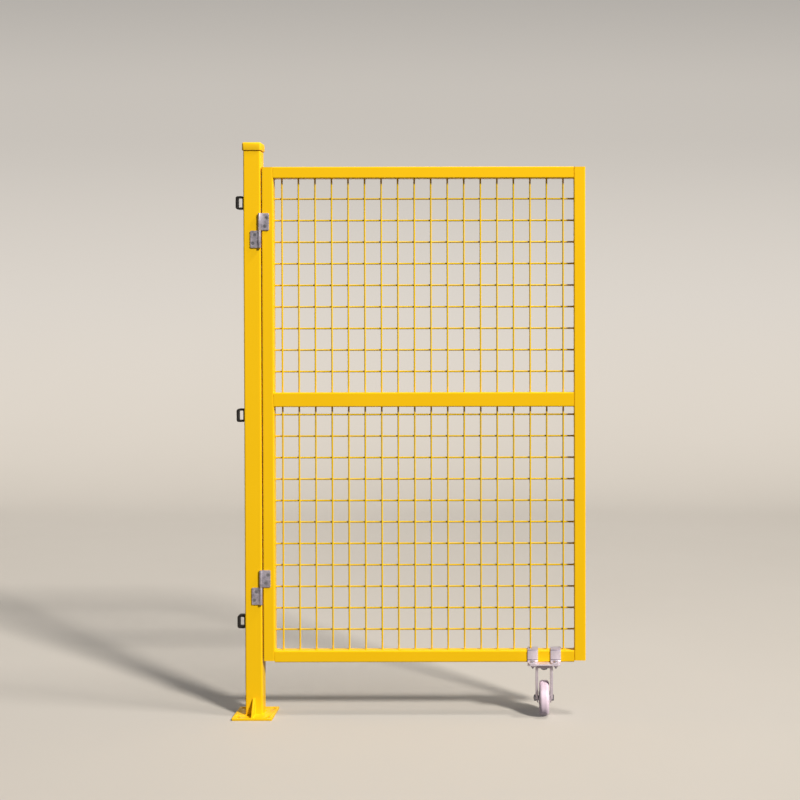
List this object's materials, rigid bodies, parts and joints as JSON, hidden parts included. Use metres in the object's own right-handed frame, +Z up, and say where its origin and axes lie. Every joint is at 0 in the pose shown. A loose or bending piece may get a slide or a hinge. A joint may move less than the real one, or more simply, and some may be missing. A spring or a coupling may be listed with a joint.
{
  "type": "wire mesh partition door",
  "caption": "Square steel post on a base plate with a framed wire mesh door leaf, hung on two lift-off hinges and carried at its free end by a swivel caster.",
  "frame": {"origin": "centre of the base plate's underside, on the post's axis at the floor", "axes": "+X along the closed door towards its free edge, -Y towards the side that the door opens to, +Z up"},
  "size_m": [1.2285, 0.14, 2.005],
  "materials": {
    "yellow_paint": "satin powder coat",
    "yellow_plastic": "satin moulding",
    "zinc_plate": "bright zinc plating with a faint lilac tone",
    "bright_steel": "turned steel",
    "brass_washer": "plain",
    "black_paint": "satin black coat",
    "wheel_core_plastic": "moulded, pale",
    "wheel_tread_plastic": "smooth pale elastomer"
  },
  "bodies": {
    "post": {"base_plate": "yellow_paint", "base_ribs": "yellow_paint", "post_tube": "yellow_paint", "post_cap": "yellow_plastic", "upper_hinge_post_leaf": "zinc_plate", "lower_hinge_post_leaf": "zinc_plate", "upper_hinge_pin": "bright_steel", "lower_hinge_pin": "bright_steel", "hinge_washers": "brass_washer", "post_hinge_screws": "zinc_plate", "upper_side_loop": "black_paint", "middle_side_loop": "black_paint", "lower_side_loop": "black_paint", "side_loop_screws": "zinc_plate"},
    "door": {"hinge_stile": "yellow_paint", "free_stile": "yellow_paint", "top_rail": "yellow_paint", "middle_rail": "yellow_paint", "bottom_rail": "yellow_paint", "stile_plugs": "yellow_plastic", "mesh_upright_wires": "yellow_paint", "mesh_cross_wires": "yellow_paint", "upper_hinge_door_leaf": "zinc_plate", "lower_hinge_door_leaf": "zinc_plate", "door_hinge_screws": "zinc_plate", "inner_caster_strap": "zinc_plate", "outer_caster_strap": "zinc_plate", "strap_bolts": "zinc_plate", "strap_washers": "zinc_plate", "strap_nuts": "zinc_plate", "caster_plate": "zinc_plate", "kingpin": "bright_steel", "kingpin_washer": "zinc_plate", "kingpin_nut": "bright_steel"},
    "fork": {"caster_fork": "zinc_plate", "swivel_balls": "bright_steel", "axle_bolt": "bright_steel", "axle_washers": "zinc_plate", "axle_nut": "bright_steel", "axle_sleeve": "bright_steel"},
    "wheel": {"wheel_core": "wheel_core_plastic", "wheel_tread": "wheel_tread_plastic", "wheel_bearings": "bright_steel"}
  },
  "joints": [
    {"name": "door_hinge", "type": "hinge", "parent": "post", "child": "door", "pos_m": [0.0275, -0.0355, 1], "axis": [0, 0, -1], "range_deg": [0, 180]},
    {"name": "caster_swivel", "type": "hinge", "parent": "door", "child": "fork", "pos_m": [1.0135, -0.01, 0.172], "axis": [0, 0, 1], "continuous": true},
    {"name": "wheel_spin", "type": "hinge", "parent": "fork", "child": "wheel", "pos_m": [1.0135, -0.004, 0.06], "axis": [1, 0, 0], "continuous": true}
  ]
}
